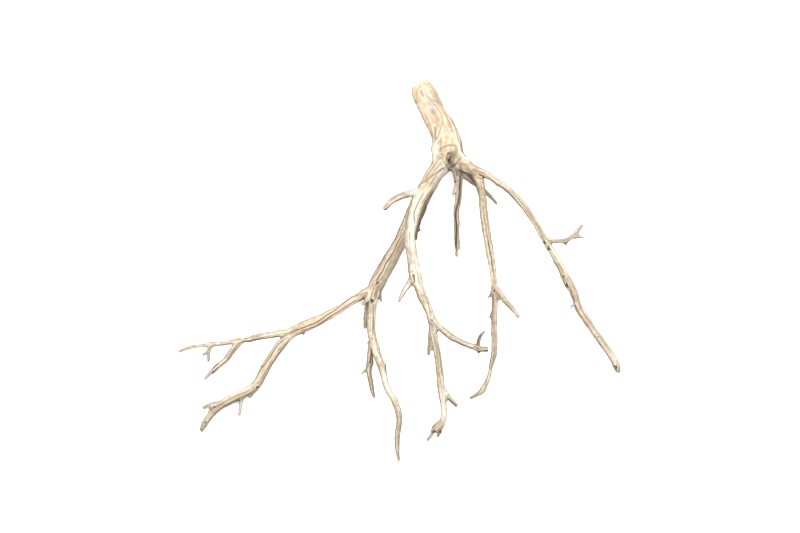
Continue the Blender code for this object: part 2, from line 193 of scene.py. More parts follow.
        (244, -46, 22, 3.1), (240, -53, 23, 1.6), (236, -58, 24, 1.3),
    ]),
    "middle limb": ("right limb", 0.38, 0.1, 0.14, [
        (93, 136, 62, 8.2), (104, 124, 61, 6.3), (109, 112, 59, 5.9), (112, 100, 57, 5.3),
        (115, 70, 53, 5.2), (118, 52, 51, 5.2), (123, 16, 47, 5.5), (126, 0, 45, 5.4),
        (128, -15, 44, 4.8), (130, -29, 43, 5.5), (131, -43, 42, 5.1), (130, -58, 42, 4.3),
        (129, -91, 43, 4), (129.5, -105, 43, 4.4), (129, -117, 42, 4), (126, -131, 40, 2.9),
        (121, -157, 35, 2.5), (116, -166, 32, 3.2), (112.5, -172, 30, 3.5), (106, -176.5, 27, 2.4),
        (96, -182.5, 23, 1.7),
    ]),
    "middle twig": ("middle limb", 0.4, 0.35, 0.25, [
        (128, -25, 44, 5.2), (137, -38, 45, 4.6), (145, -48, 46, 4), (153.5, -57.5, 47, 3.1),
        (163, -70.5, 48, 1.8),
    ]),
    "middle spur": ("middle limb", 0.5, 0.3, 0.5, [
        (127, -32, 42, 3), (124, -38, 41, 1.8), (120, -44, 40, 1.3),
    ]),
    "middle low spur": ("middle limb", 0.5, 0.3, 0.4, [
        (128, -61, 42, 2.3), (125, -66, 41, 1.5), (122, -71, 40, 1.3),
    ]),
    "under limb": ("trunk", 0.7, 0.3, 0.4, [
        (77, 141, 55, 11), (89, 129, 46, 7.6), (101, 118, 39, 5), (112, 108, 33, 3.6),
        (122, 99, 28, 2.6), (134, 86, 22, 1.2),
    ]),
    "hanging twig": ("trunk", 0.7, 0.15, 0.45, [
        (74, 141, 55, 10.3), (78, 128, 49, 5.8), (80, 117, 45, 4.8), (80, 105, 41, 4.1),
        (78, 77, 35, 3.6), (78, 47, 28, 3.5), (78, 32, 24, 2.6), (78, 13, 20, 1.3),
    ]),
    "hanging twig prong": ("hanging twig", 0.8, 0.4, 0.6, [
        (79, 50, 28, 2.5), (81, 35, 25, 2.1), (81.5, 23, 23, 1.3),
    ]),
    "hanging twig spur": ("hanging twig", 0.2, 0, 0, [
        (77, 111, 44, 1.9), (74, 103, 44, 1.4), (72, 96, 45, 1.3),
    ]),
}

ROUTE_STEP = 2.5 * MM
THINNEST_RADIUS = 0.95 * MM
SOFTENING_LOSS = 0.8 * MM
TUBE_SIDES = 28
WELD_CELL = 1.0 * MM
SOFTEN_PASSES = 3
SOFTEN_SHARE = 0.5


def smooth_route(stations):
    """Points along one smooth line through the stations, as rows of x, y, z, radius in metres."""
    marks = np.array(stations, float) * MM
    marks[:, 3] = np.maximum(marks[:, 3], THINNEST_RADIUS) + SOFTENING_LOSS
    gaps = np.linalg.norm(np.diff(marks[:, :3], axis=0), axis=1)[:, None]
    slopes = np.diff(marks, axis=0) / gaps
    bends = (slopes[:-1] * gaps[1:] + slopes[1:] * gaps[:-1]) / (gaps[1:] + gaps[:-1])
    slopes = np.vstack([slopes[:1], bends, slopes[-1:]])
    rows = []
    for start, end, leave, arrive, gap in zip(marks, marks[1:], slopes, slopes[1:], gaps):
        count = max(2, round(float(gap[0]) / ROUTE_STEP))
        t = (np.arange(count) / count)[:, None]
        rows.append(
            start * (1 + 2 * t) * (1 - t) ** 2
            + end * t * t * (3 - 2 * t)
            + leave * gap * t * (1 - t) ** 2
            + arrive * gap * t * t * (t - 1)
        )
    return np.vstack([*rows, marks[-1:]])


def node(tree, kind, group=None, **sockets):
    """A node whose named sockets are set to a value or linked from another node's output."""
    made = tree.nodes.new(kind)
    if group:
        made.node_tree = group
    for key, value in sockets.items():
        plug(tree, made.inputs[key.replace("_", " ")], value)
    return made


def plug(tree, socket, value):
    if isinstance(value, bpy.types.NodeSocket):
        tree.links.new(value, socket)
    else:
        socket.default_value = value


def maths(tree, operation, *values, clamp=False):
    made = tree.nodes.new("ShaderNodeMath")
    made.operation = operation
    made.use_clamp = clamp
    for socket, value in zip(made.inputs, values):
        plug(tree, socket, value)
    return made.outputs[0]


def new_tree(kind, name, inputs, output):
    """A tree with one output and these inputs, each given as (name, type) or (name, type, value)."""
    tree = bpy.data.node_groups.new(name, kind)
    for label, sort, *value in inputs:
        socket = tree.interface.new_socket(label, in_out="INPUT", socket_type="NodeSocket" + sort)
        if value:
            socket.default_value = value[0]
    tree.interface.new_socket(output[0], in_out="OUTPUT", socket_type="NodeSocket" + output[1])
    return tree, tree.nodes.new("NodeGroupInput").outputs


def applied(obj):
    """The plain mesh that an object's modifiers make, which are then taken off."""
    mesh = bpy.data.meshes.new_from_object(obj.evaluated_get(bpy.context.evaluated_depsgraph_get()))
    obj.modifiers.clear()
    return mesh


def run_nodes(obj, tree, name, **values):
    """Runs a node tree on an object with its named inputs set, and returns the plain mesh it makes."""
    modifier = obj.modifiers.new(name, "NODES")
    modifier.node_group = tree
    for item in tree.interface.items_tree:
        if item.item_type == "SOCKET" and item.in_out == "INPUT" and item.name.replace(" ", "_") in values:
            modifier[item.identifier] = values[item.name.replace(" ", "_")]
    return applied(obj)


def tube_tree():
    """Sweeps a round section along every route, as thick as the route's points say."""
    inputs = [("Geometry", "Geometry"), ("Sides", "Int", 24), ("Wood", "Material")]
    tree, given = new_tree("GeometryNodeTree", "limb tubes", inputs, ("Geometry", "Geometry"))
    section = node(tree, "GeometryNodeCurvePrimitiveCircle", Resolution=given["Sides"], Radius=1.0)
    thickness = tree.nodes.new("GeometryNodeInputRadius").outputs[0]
    tube = node(
        tree, "GeometryNodeCurveToMesh", Curve=given["Geometry"], Profile_Curve=section.outputs["Curve"],
        Scale=thickness, Fill_Caps=True,
    )
    real = node(tree, "GeometryNodeRealizeInstances", Geometry=tube.outputs[0])
    dressed = node(tree, "GeometryNodeSetMaterial", Geometry=real.outputs[0], Material=given["Wood"])
    node(tree, "NodeGroupOutput", Geometry=dressed.outputs[0])
    return tree


ROUTES = {name: smooth_route(limb[-1]) for name, limb in LIMBS.items()}
dressing = bpy.data.collections.new("dressing")
bpy.context.scene.collection.children.link(dressing)
wood = bpy.data.materials.new("sandblasted manzanita")
route_curve = bpy.data.curves.new("routes", "CURVE")
route_curve.dimensions = "3D"
for route in ROUTES.values():
    spline = route_curve.splines.new("POLY")
    spline.points.add(len(route) - 1)
    for point, row in zip(spline.points, route):
        point.co = (*row[:3], 1)
        point.radius = row[3]
routes = bpy.data.objects.new("routes", route_curve)
dressing.objects.link(routes)
tubes = run_nodes(routes, tube_tree(), "tubes", Sides=TUBE_SIDES, Wood=wood)
bpy.data.objects.remove(routes)

branch = bpy.data.objects.new("branch", tubes)
dressing.objects.link(branch)
weld = branch.modifiers.new("weld", "REMESH")
weld.mode = "VOXEL"
weld.voxel_size = WELD_CELL
soften = branch.modifiers.new("soften", "SMOOTH")
soften.factor = SOFTEN_SHARE
soften.iterations = SOFTEN_PASSES
branch.data = applied(branch)

# The grain
# Sandblasting leaves the hard lines of the grain proud and cuts the soft wood between them away.
# Every point gets its place in a straightened branch: across the limb, and a little along it, so
# that a pattern on that place runs down each limb, winds with it and flows round its forks.
ALONG_SHARE = 0.04
TWIST = 3.2
FORK_BLEND = 2.2 * MM
FORK_CORE = 0.25
REACH = 9.0 * MM
COMMON_RADIUS = 7.0 * MM
THIN_LIMB_SPREAD = 0.35
TIP_LENGTH = 20.0 * MM
TIPLESS = (
    "trunk", "crotch knot", "right crotch web", "left crotch web", "back limb", "bark remnant", "left limb",
)


def frames_along(route, first):
    """The direction, and two axes across it that turn as little as they can, at each point."""
    ahead = np.gradient(route[:, :3], axis=0)
    ahead /= np.linalg.norm(ahead, axis=1)[:, None]
    across = [first]
    for direction in ahead:
        side = across[-1] - direction * (across[-1] @ direction)
        across.append(side / np.linalg.norm(side))
    across = np.array(across[1:])
    return ahead, across, np.cross(ahead, across)


def nearest_on(route, points):
    """For each point, the nearest place on the route: which stretch, and how far along it."""
    start = route[:-1, :3]
    step = route[1:, :3] - start
    reach = points[:, None, :] - start[None]
    share = np.clip((reach * step).sum(2) / (step * step).sum(1), 0, 1)
    away = np.linalg.norm(reach - share[..., None] * step, axis=2)
    stretch = away.argmin(1)
    pick = np.arange(len(points))
    return stretch, share[pick, stretch], away[pick, stretch]


def between(values, stretch, share):
    share = share if values.ndim == 1 else share[:, None]
    return values[stretch] * (1 - share) + values[stretch + 1] * share


class Limb:
    """A limb's frames and its place in the straightened branch, carried on from its parent's."""

    def __init__(self, name):
        parent, self.tan, self.grey, self.dark, _ = LIMBS[name]
        self.route = ROUTES[name]
        self.run = np.append(0, np.cumsum(np.linalg.norm(np.diff(self.route[:, :3], axis=0), axis=1)))
        self.root = np.zeros(3)
        first = np.array((1.0, 0.0, 0.0))
        if parent:
            parent = limbs[parent]
            stretch, share, _ = nearest_on(parent.route, self.route[:1, :3])
            first = between(parent.across, stretch, share)[0]
            self.root = parent.place(self.route[:1, :3])[0]
        self.ahead, self.across, self.over = frames_along(self.route, first)

    def place(self, points):
        """Where the points lie in the straightened branch, in metres."""
        stretch, share, _ = nearest_on(self.route, points)
        run = between(self.run, stretch, share)
        radius = between(self.route[:, 3], stretch, share)
        offset = points - between(self.route[:, :3], stretch, share)
        turn = TWIST * run
        x = (offset * between(self.across, stretch, share)).sum(1)
        y = (offset * between(self.over, stretch, share)).sum(1)
        swell = (COMMON_RADIUS / radius) ** THIN_LIMB_SPREAD
        flat = np.stack([x * np.cos(turn) - y * np.sin(turn), x * np.sin(turn) + y * np.cos(turn)], 1)
        beyond = (offset * between(self.ahead, stretch, share)).sum(1)
        return self.root + np.column_stack([flat * swell[:, None], (run + beyond) * ALONG_SHARE])


limbs = {}
for limb_name in LIMBS:
    limbs[limb_name] = Limb(limb_name)


def places_of(mesh):
    flat = np.empty(len(mesh.vertices) * 3)
    mesh.vertices.foreach_get("co", flat)
    return flat.reshape(-1, 3)


def edge_ends(mesh):
    """Both ends of every edge, each way round."""
    edges = np.empty(len(mesh.edges) * 2, int)
    mesh.edges.foreach_get("vertices", edges)
    return np.concatenate([edges[0::2], edges[1::2]]), np.concatenate([edges[1::2], edges[0::2]])


def eased(values, ends, others, passes):
    """The values averaged with their neighbours' this many times."""
    counts = np.bincount(ends, minlength=len(values))[:, None] + 1.0
    for _ in range(passes):
        sums = [np.bincount(ends, weights=column[others], minlength=len(values)) for column in values.T]
        values = (values + np.column_stack(sums)) / counts
    return values


count = len(branch.data.vertices)
points = places_of(branch.data)
share_sum = np.full(count, 1e-9)
grain = np.zeros((count, 3))
tone = {name: np.zeros(count) for name in ("tan", "grey", "dark", "tip", "girth")}
belongs = {}
for limb_name, limb in limbs.items():
    low = limb.route[:, :3].min(0) - limb.route[:, 3].max() - REACH
    high = limb.route[:, :3].max(0) + limb.route[:, 3].max() + REACH
    near = np.flatnonzero(((points > low) & (points < high)).all(1))
    stretch, share, away = nearest_on(limb.route, points[near])
    radius = between(limb.route[:, 3], stretch, share)
    weight = np.exp(-np.maximum(away - radius, -radius * FORK_CORE) / FORK_BLEND)
    belongs[limb_name] = (near, weight)
    share_sum[near] += weight
    grain[near] += weight[:, None] * limb.place(points[near])
    for name in ("tan", "grey", "dark"):
        tone[name][near] += weight * getattr(limb, name)
    tone["girth"][near] += weight * radius
    if limb_name not in TIPLESS:
        left = limb.run[-1] - between(limb.run, stretch, share)
        tone["tip"][near] += weight * np.clip(1 - left / TIP_LENGTH, 0, 1)
grain /= share_sum[:, None]
for name in tone:
    tone[name] /= share_sum

# Where limbs meet, the wood has grown round the fork in one smooth collar.
COLLAR_SHARE = 0.93
COLLAR_RISE = 3
COLLAR_FADE_PASSES = 6
COLLAR_PASSES = 22
main_share = np.zeros(count)
for near, weight in belongs.values():
    main_share[near] = np.maximum(main_share[near], weight / share_sum[near])
ends, others = edge_ends(branch.data)
collar = np.clip((COLLAR_SHARE - main_share) * COLLAR_RISE, 0, 1)[:, None]
collar = eased(collar, ends, others, COLLAR_FADE_PASSES)
points += (eased(points, ends, others, COLLAR_PASSES) - points) * collar
branch.data.vertices.foreach_set("co", points.ravel())
branch.data.update()
normals = np.array([vertex.normal for vertex in branch.data.vertices])

# Marks in the wood
# Drying cracks, stains, dark grain and the knots of lost twigs, on the upper side of their own limb.
# The "shade" marks, and two wide "vein" marks, are painted shade on undersides, lower edges, notches
# and crotches; a few "shade" marks on the trunk are dark grain.
# A mark is (kind, width, depth, the line it runs along), and those under "any" go over several limbs.
# A knot is (x, y, spread, how far it swells, its hole's radius and depth). All are in millimetres.
MARKS = {
    "trunk": [
        ("ash", 7, 0, [(32, 246), (41, 229), (51, 211), (60, 194)]),
        ("stain", 10, 0, [(19, 228), (29, 210), (38, 189), (46, 172)]),
        ("ochre", 7, 0, [(36, 224), (43, 210), (45, 194), (51, 183)]),
        ("vein", 9, 0, [(42, 218), (50, 202), (54, 188)]),
        ("pale", 13, 0, [(57, 251), (70, 216), (75, 192), (79, 168)]),
        ("shade", 2.6, 0.3, [(55, 236), (68, 208), (74, 194), (77, 185), (79, 176), (81, 168), (84, 160)]),
        ("vein", 3.6, 0.3, [(35, 236), (42, 229), (51, 217), (57, 206), (58, 195), (56, 189)]),
        ("shade", 2.6, 0.4, [(56, 192), (53, 182), (49, 171)]),
        ("vein", 4.5, 0.4, [(50, 194), (48, 182), (47, 171)]),
        ("shade", 3, 0.5, [(47, 192), (48, 181), (48, 169)]),
        ("vein", 3, 0.2, [(33, 212), (39, 198), (44, 184), (47, 171)]),
        ("vein", 2.6, 0.2, [(56, 176), (55, 170), (52, 166)]),
        ("line", 1.6, 0.2, [(47, 240), (56, 222), (67, 197), (76, 174)]),
        ("line", 1.6, 0.2, [(52, 246), (60, 228), (68, 208), (74, 190)]),
        ("vein", 3, 0.5, [(28, 243), (30, 238), (33, 232)]),
        ("rust", 16, 0, [(24, 240), (31, 218), (39, 198), (46, 178)]),
    ],
    "back limb": [
        ("vein", 2, 0.3, [(57, 142), (46, 128), (37, 114)]),
        ("line", 1.8, 0.3, [(58, 150), (46, 136), (34, 116)]),
        ("vein", 2.4, 0.3, [(0, 52), (-14, 27), (-27, 2), (-40, -22)]),
        ("stain", 6, 0, [(-2, 44), (-18, 14), (-32, -14)]),
        ("crack", 1.8, 0.7, [
            (4, 46), (-4, 31), (-8, 22), (-14, 11), (-19, 5), (-25, -7), (-30, -15), (-34, -33),
        ]),
        ("vein", 6, 0.2, [(6, 40), (-5, 20), (-16, 0), (-26, -18)]),
        ("vein", 2, 0.3, [(12, 32), (0, 8), (-12, -14), (-24, -34)]),
        ("ash", 8, 0, [(6, 28), (-7, 4), (-19, -19), (-26, -36)]),
        # Painted shade on the back limb where the front limb passes over it.
        ("vein", 9, 0.2, [(9, 46), (0, 24), (-9, 6), (-20, -14)]),
        ("ochre", 6, 0, [(2, 50), (-10, 28), (-22, 6), (-32, -14)]),
        ("crack", 2.8, 0.8, [(-33, -32), (-38, -49)]),
    ],
    "front limb": [
        ("pale", 11, 0, [(43, 110), (27, 90), (16, 56), (16, 30), (19, 10)]),
        ("crack", 1.7, 0.6, [(33, 100), (24, 84), (19, 73), (20, 57)]),
        ("crack", 1.5, 0.4, [(12, 47), (13, 36)]),
        ("line", 1.5, 0.3, [(13, 36), (13, 27), (15, 8)]),
        ("stain", 8, 0.1, [(44, 104), (35, 88), (28, 68), (23, 52)]),
        ("vein", 1.8, 0.3, [(40, 100), (30, 82), (25, 62)]),
        ("vein", 1.6, 0.3, [(16, 96), (11, 74), (7, 50)]),
        ("crack", 2.6, 1.0, [(19, -10), (19, -16), (19, -22)]),
        ("shade", 5, 0.3, [(13, -19), (17, -25)]),
        ("line", 1.8, 0.4, [(22, 0), (26, -20), (34, -40), (41, -62)]),
        ("vein", 2.4, 0.3, [(15, 20), (18, -4)]),
    ],
    "front twig": [
        ("pale", 6, 0, [(13, -23), (6, -33), (-1, -46)]),
    ],
    "left limb": [
        ("rust", 6, 0, [(-44, -37), (-60, -45), (-78, -55)]),
        ("crack", 1.6, 0.5, [(-44, -35), (-64, -42), (-92, -62), (-120, -79), (-140, -87), (-152, -94)]),
        ("crack", 1.5, 0.4, [(-58, -46), (-89, -65), (-120, -84), (-137, -89)]),
        ("ochre", 7, 0, [(-44, -37), (-76, -51), (-104, -69), (-132, -83)]),
        ("line", 2.4, 0.2, [(-66, -40), (-86, -52), (-108, -63), (-130, -74), (-152, -82)]),
        ("rust", 5, 0, [(-70, -50), (-96, -66), (-120, -78)]),
    ],
    "shoulder twig": [
        ("shade", 4.2, 0.2, [(-22, 74), (-12, 82), (-2, 89), (8, 93)]),
        ("crack", 2.6, 0.3, [(-26, 72), (-20, 77), (-12, 82), (-4, 87)]),
        ("vein", 8, 0.1, [(0, 97), (6, 98), (13, 98)]),
        ("line", 1.4, 0.2, [(-14, 88), (-4, 95), (6, 99)]),
    ],
    "node stub": [
        ("pale", 4, 0, [(-41, -38), (-46, -50)]),
    ],
    "left upper branch": [
        ("line", 1.6, 0.3, [(-152, -87), (-175, -91), (-201, -97), (-240, -105)]),
        ("vein", 2.2, 0.3, [(-150, -91), (-172, -94), (-200, -101), (-226, -107)]),
    ],
    "left lower branch": [
        ("crack", 1.5, 0.4, [(-154, -97), (-169, -108), (-180, -126), (-191, -142)]),
        ("line", 1.5, 0.3, [(-176, -128), (-190, -152), (-200, -164)]),
        ("crack", 1.5, 0.4, [(-206, -170), (-223, -178), (-242, -187), (-259, -198)]),
        ("pale", 3, 0, [(-203, -163), (-222, -172), (-240, -181)]),
        ("rust", 5, 0, [(-160, -102), (-174, -120), (-190, -146)]),
        ("line", 1.6, 0.3, [(-152, -100), (-163, -114), (-172, -128), (-186, -146)]),
        ("line", 1.8, 0.4, [(-160, -98), (-172, -112), (-182, -126), (-194, -144), (-206, -164)]),
        ("ash", 6, 0, [(-262, -204), (-270, -216), (-276, -226)]),
    ],
    "down limb": [
        ("crack", 1.5, 0.5, [(-37, -61), (-37, -95)]),
        ("shade", 5, 0.2, [(-38, -52), (-37, -62)]),
        ("stain", 4.2, 0.1, [(-21, -145), (-15, -171), (-3, -197)]),
        ("pale", 10, 0, [(-22, -141), (-16, -163), (-8, -182)]),
        ("line", 1.8, 0.4, [(-36, -66), (-34, -98), (-29, -124)]),
        ("ash", 6, 0, [(-5, -228), (-4, -244), (-3, -262)]),
    ],
    "middle limb": [
        ("crack", 1.5, 0.4, [(120, 42), (123, 19), (128, -12)]),
        ("line", 1.8, 0.3, [(114, 104), (117, 80), (120, 56), (124, 30)]),
        ("stain", 4.2, 0.1, [(111, 104), (115, 70), (119, 36)]),
        ("ash", 4, 0.2, [(118, 110), (121, 80), (126, 40), (131, 0)]),
        ("shade", 3, 0.2, [(128, -36), (127, -60), (129, -90)]),
        ("ochre", 5, 0, [(130, -116), (128, -132), (124, -150)]),
        ("vein", 7, 0, [(127, -34), (127, -60), (129, -92), (129, -120), (124, -146)]),
        ("line", 1.8, 0.3, [(128, -142), (124, -158), (119, -168)]),
        ("ash", 7, 0, [(128, -38), (127, -60), (130, -92), (131, -116)]),
        ("line", 1.6, 0.3, [(125, -120), (121, -145), (117, -165)]),
    ],
    "right limb": [
        ("line", 1.5, 0.3, [(133, 113), (158, 94), (182, 63), (199, 33)]),
        ("pale", 4, 0, [(125, 128), (150, 110), (176, 82), (196, 48)]),
        ("line", 1.5, 0.3, [(206, 16), (224, -16), (240, -52)]),
        ("stain", 3.5, 0.1, [(211, 11), (229, -21), (244, -51), (273, -96)]),
        ("stain", 7, 0, [(240, -40), (255, -68), (275, -98), (300, -138)]),
        ("shade", 3, 0.5, [(233, -26), (238, -42), (243, -58), (254, -74)]),
        ("line", 2, 0.5, [(243, -38), (248, -54), (258, -70), (268, -84)]),
        ("shade", 2.4, 0.4, [(268, -94), (279, -110), (290, -128), (297, -140)]),
        ("line", 1.8, 0.4, [(266, -80), (280, -100), (294, -120)]),
        ("pale", 3.4, 0, [(252, -58), (268, -78), (284, -100), (300, -124)]),
        ("pale", 4.5, 0, [(204, 34), (218, 10), (232, -14)]),
        ("line", 1.8, 0.4, [(202, 18), (214, -4), (226, -24)]),
        ("line", 1.8, 0.4, [(108, 128), (126, 116), (146, 102), (162, 86), (176, 66)]),
    ],
    "hanging twig": [
        ("shade", 4.6, 0.3, [(77, 132), (78, 122)]),
        ("crack", 4.4, 0.7, [
            (82, 123), (82, 112), (80, 89), (77, 74), (77, 64), (78, 48), (77, 27), (76, 14),
        ]),
        ("pale", 3.4, 0, [(76, 116), (76, 96), (74, 82)]),
        ("ochre", 4.2, 0, [(78, 100), (77, 84), (77, 57)]),
        ("hole", 2.2, 0.6, [(77, 82), (77, 66), (77, 48), (77, 30), (76, 14)]),
        ("hole", 1.8, 0.5, [(82, 128), (82, 116), (81, 102)]),
        ("line", 2, 0.3, [(80, 98), (78, 86), (76, 78)]),
    ],
    "left upper twig": [
        ("crack", 2, 0.4, [(-251, -134), (-259, -140), (-266, -146)]),
        ("crack", 1.8, 0.3, [(-254, -142), (-262, -148)]),
    ],
    "down twig": [
        ("crack", 3, 0.5, [(-40, -114), (-40, -124), (-42, -134)]),
        ("pale", 3, 0, [(-44, -138), (-43, -150)]),
    ],
    "front down twig": [
        ("pale", 5, 0, [(60, -168), (63, -173)]),
        ("crack", 2.6, 0.3, [(64, -177), (70, -183), (77, -189)]),
    ],
    "front down branch": [
        ("crack", 4, 1.0, [(48, -221), (44, -226)]),
        ("vein", 3, 0.4, [(57, -208), (51, -213), (45, -217)]),
        ("line", 1.8, 0.4, [(43, -80), (48, -108), (50, -130), (53, -152)]),
        ("shade", 2.2, 0.3, [(50, -100), (54, -126), (57, -150)]),
        ("stain", 4, 0.2, [(46, -92), (50, -116), (53, -140)]),
        ("ash", 7, 0, [(60, -206), (52, -216), (45, -222)]),
        ("line", 1.5, 0.3, [(46, -86), (50, -116), (55, -157), (59, -188)]),
        ("pale", 10, 0, [(54, -160), (58, -184), (59, -206)]),
    ],
    "front down claw": [
        ("crack", 4, 0.8, [(53, -220), (55, -226)]),
    ],
    "front right upright": [
        ("crack", 2.6, 0.3, [(104, -107), (105, -98), (108, -91)]),
    ],
    "front right branch": [
        ("crack", 2.2, 0.3, [(103, -114), (110, -114), (119, -112)]),
        ("shade", 2.4, 0.3, [(74, -100), (86, -106), (98, -111)]),
        ("ash", 6, 0, [(78, -99), (92, -106), (106, -110), (119, -111)]),
        ("line", 1.6, 0.3, [(50, -82), (64, -95), (80, -104), (98, -111)]),
    ],
    "front right spur": [
        ("crack", 3, 0.2, [(105, -114), (106, -118)]),
    ],
    "front down stub": [
        ("shade", 4.5, 0.2, [(41, -96), (39, -108), (37, -119)]),
    ],
    "middle spur": [
        ("shade", 3, 0.2, [(127, -36), (120, -44)]),
    ],
    "right twig": [
        ("shade", 3.2, 0.2, [(204, 32), (214, 31), (226, 32), (236, 36)]),
    ],
    "middle twig": [
        ("shade", 3, 0.3, [(130, -36), (139, -44), (148, -54), (156, -64)]),
    ],
    "under limb": [
        ("shade", 9, 0.2, [(82, 136), (96, 125), (108, 112), (120, 99)]),
    ],
    "any": [
        ("pale", 11, 0, [(50, 164), (47, 150), (44, 142)]),
        ("pale", 13, 0, [(80, 172), (84, 156), (96, 143)]),
        ("pit", 14, 0.7, [(69, 156), (70, 149), (68, 141), (67, 134)]),
        ("vein", 5, 0.7, [(52, 154), (56, 159), (62, 162), (70, 164), (76, 163), (77, 155), (76, 148)]),
        ("stain", 11, 0, [(60, 160), (68, 157), (76, 160)]),
        ("vein", 6, 0, [(74, 152), (79, 146), (84, 140)]),
        ("vein", 2, 0.3, [(61, 154), (58, 147), (60, 139)]),
        ("vein", 2, 0.3, [(64, 152), (62, 146), (63, 140)]),
        ("vein", 4.5, 0.8, [(29, 111), (42, 121), (54, 129), (63, 135)]),
        ("stain", 12, 0, [(30, 118), (42, 131), (54, 143)]),
        ("rust", 7, 0, [(62, 133), (70, 132), (76, 138), (82, 145)]),
        ("shade", 3, 1.0, [(61, 134), (69, 133), (75, 138), (81, 145), (84, 149)]),
        ("crack", 3.6, 0.6, [(65, 132), (70, 129)]),
        # This mark and the next: painted shade in the notch below the crotch, between the hanging twig and
        # the right limb.
        ("vein", 8, 0.4, [(82, 142), (88, 135), (96, 126), (102, 118)]),
        ("shade", 6, 0.4, [(80, 141), (83, 132), (84, 122)]),
        ("bark", 9, 0.5, [(39, 90), (33, 74), (28, 60), (24, 47), (21, 34)]),
        ("vein", 6, 0, [(-16, 88), (-8, 93), (2, 99), (8, 102)]),
        ("pale", 9, 0, [(15, 92), (19, 98), (24, 106)]),
        ("stain", 15, 0, [(-22, -12), (-32, -26), (-40, -40)]),
        ("vein", 3, 0.4, [(-24, -20), (-31, -30), (-34, -42), (-36, -54)]),
        ("shade", 3, 0.6, [(-36, -30), (-40, -40), (-41, -52)]),
        ("vein", 2.4, 0.3, [(-42, -26), (-52, -33), (-62, -40)]),
        ("shade", 4, 0.2, [(-140, -85), (-150, -91), (-159, -95), (-166, -101)]),
        ("crack", 2.6, 0.8, [(107, 124), (112, 122), (117, 118)]),
        ("vein", 2.4, 0.3, [(98, 132), (104, 128), (110, 124)]),
        ("vein", 2.2, 0.3, [(102, 124), (106, 119), (111, 118)]),
        ("shade", 5, 0, [(126, -26), (132, -35), (138, -42)]),
    ],
}
KNOTS = {
    "crotch knot": [(67, 142, 8, 0, 2.6, 2.5)],
    "hanging twig": [(75, 115, 4, 0.9, 1.6, 1.5)],
    "front limb": [(18, -12, 6, 0.8, 1.2, 2), (43, -72, 6, 0.8, 1, 1), (33, -46, 6, 0.5, 0, 0)],
    "back limb": [(-30, -23, 6, 0.6, 1.6, 2.5), (-39, -49, 5, 0, 2.2, 3), (-12, 12, 8, 0.5, 0, 0)],
    "left limb": [(-141, -87, 6, 0.7, 1, 1), (-100, -66, 7, 0.6, 0, 0)],
    "left lower branch": [
        (-191, -139, 7, 1.1, 1.2, 1.5), (-198, -167, 7, 1.2, 1.4, 1.5), (-258, -196, 6, 0.9, 1.3, 1.5),
        (-270, -217, 4, 0.5, 1.4, 2), (-171, -112, 6, 0.5, 0, 0),
    ],
    "left upper branch": [(-213, -100, 5, 0.7, 0.9, 1), (-265, -107, 5, 0.8, 0, 0)],
    "down limb": [
        (-19, -137, 6, 1.3, 1.3, 1.5), (-33, -108, 6, 0.7, 0, 0), (-5, -182, 6, 0.7, 0, 0),
        (-4, -228, 5, 0.7, 0, 0),
    ],
    "down twig": [(-37, -134, 5, 1.1, 1.3, 1.3)],
    "right limb": [
        (198, 32, 6, 1.2, 2, 2), (204, 24, 6, 0.9, 2.2, 2), (225, -14, 6, 0.9, 1.7, 1.4),
        (230, -26, 7, 1.4, 2.4, 2), (252, -66, 6, 0.8, 0, 0), (275, -98, 5, 0.7, 1, 1),
        (301, -141, 6, 0.9, 2.2, 3),
    ],
    "right twig": [(228, 31, 4, 1.0, 0, 0), (243, 39, 4, 0.8, 0, 0)],
    "front down branch": [(55, -214, 8, 1.2, 0, 0), (48, -92, 6, 0.6, 0, 0), (50, -219, 6, 2.2, 0, 0)],
    "front right branch": [(104, -110, 5, 1.1, 1.2, 1.2), (62, -89, 5, 0.6, 0, 0)],
    "front right upright": [(106, -98, 3, 1.1, 0, 0), (111, -89, 3, 0.9, 0, 0)],
    "middle limb": [
        (105, 121, 6, 0.6, 0, 0), (129, -34, 8, 1.4, 1.3, 1.5), (114, -169, 6, 1, 0, 0),
        (131, -88, 6, 0.7, 0, 0), (129, -124, 5, 0.5, 0, 0),
    ],
    "under limb": [(92, 120, 6, 0.4, 0, 0)],
}
MARK_TAPER = 6
OWN_LIMB_RISE = 1.6
KNOT_TWIST = 3.0 * MM
KNOT_STAIN = 0.6
HOLE_STRETCH = 1.7
HOLE_RAGGEDNESS = 0.3
HOLE_REACH = 1.5
BARK_TOP = 80 * MM
BARK_FADE = 10 * MM
BARK_RISE = 1.8
SAWN_CENTRE = np.array((41.5, 232.5)) * MM
SAWN_RADIUS = 20.0 * MM
SAWN_REACH = 26.0 * MM
SAWN_DEPTH = 0.6 * MM
RIM_WIDTH = 1.1 * MM

KINDS = (
    "rust", "crack", "line", "vein", "shade", "pit", "stain", "ash", "ochre", "pale", "bark", "hole",
    "sawn", "rim",
)
marks = {kind: np.zeros(count) for kind in KINDS}
belongs["any"] = (np.arange(count), share_sum)
lift = np.zeros(count)
upward = np.clip(normals[:, 2] * 2 + 0.3, 0, 1)
for limb_name, limb_marks in MARKS.items():
    near, weight = belongs[limb_name]
    own = np.clip(weight / share_sum[near] * OWN_LIMB_RISE, 0, 1)
    for kind, width, depth, line in limb_marks:
        line = smooth_route([(x, y, 0, 0) for x, y in line])
        run = np.append(0, np.cumsum(np.linalg.norm(np.diff(line[:, :2], axis=0), axis=1)))
        stretch, share, away = nearest_on(line, points[near] * (1, 1, 0))
        along = between(run, stretch, share) / run[-1]
        taper = np.sqrt(np.clip(np.minimum(along, 1 - along) * MARK_TAPER, 0, 1))
        shape = np.clip(1 - (away / (width / 2 * MM)) ** 2, 0, 1) * taper * upward[near] * own
        marks[kind][near] = np.maximum(marks[kind][near], shape)
        lift[near] -= shape * depth * MM

